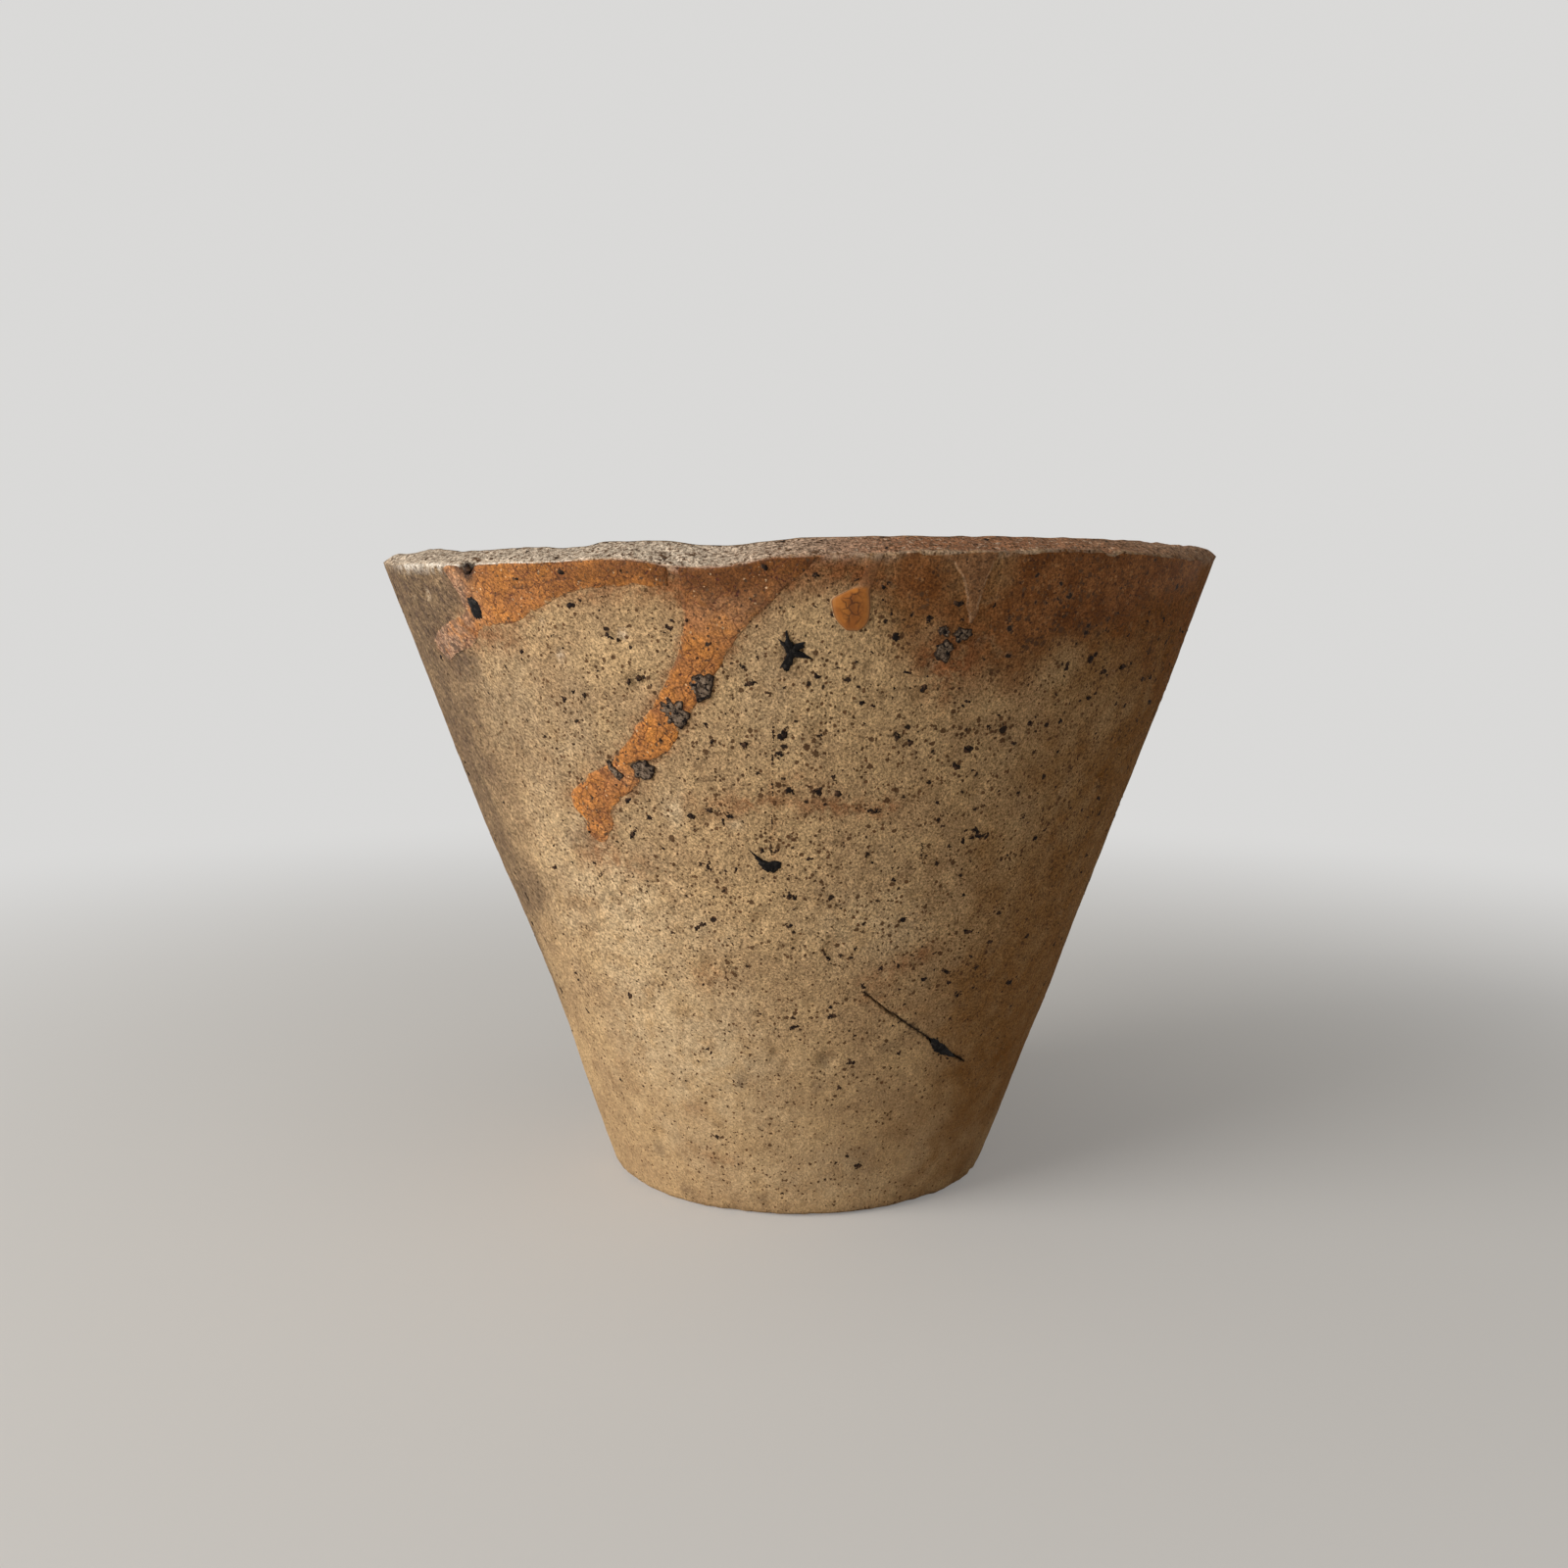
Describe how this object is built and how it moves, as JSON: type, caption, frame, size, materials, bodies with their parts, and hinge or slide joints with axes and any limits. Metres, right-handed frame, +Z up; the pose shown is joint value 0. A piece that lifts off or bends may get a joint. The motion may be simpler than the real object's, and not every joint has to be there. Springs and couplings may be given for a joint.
{
  "type": "fireclay crucible",
  "caption": "Conical fireclay melting pot with a flat foot and square-cut rim, glazed inside, with fused glass runs and slag on its wall.",
  "frame": {"origin": "centre of the foot's underside, on the surface that the pot stands on", "axes": "+Z up along the pot's axis, -Y towards the side with the long glass run, +X to the right of that side"},
  "size_m": [0.154, 0.1544, 0.1187],
  "materials": {
    "fireclay": "unglazed, coarse and speckled",
    "lining_glass": "glossy brown flux glass",
    "orange_glass": "satin, crackled",
    "brown_glass": "satin film",
    "pale_glass": "satin, crackled",
    "amber_glass": "glossy, crazed",
    "slag": "glassy black",
    "iron": "dull black",
    "crystal": "rough grey"
  },
  "bodies": {
    "root": {"crucible_body": "fireclay", "glaze_lining": "lining_glass", "glaze_sheet_left": "orange_glass", "glaze_run_centre": "orange_glass", "glaze_film_right": "brown_glass", "glaze_drip_right": "pale_glass", "glaze_drop_amber": "amber_glass", "slag_star": "slag", "slag_bleb": "slag", "slag_oval": "slag", "slag_crack_cap": "slag", "iron_spots": "iron", "ash_crystals": "crystal"}
  },
  "joints": []
}
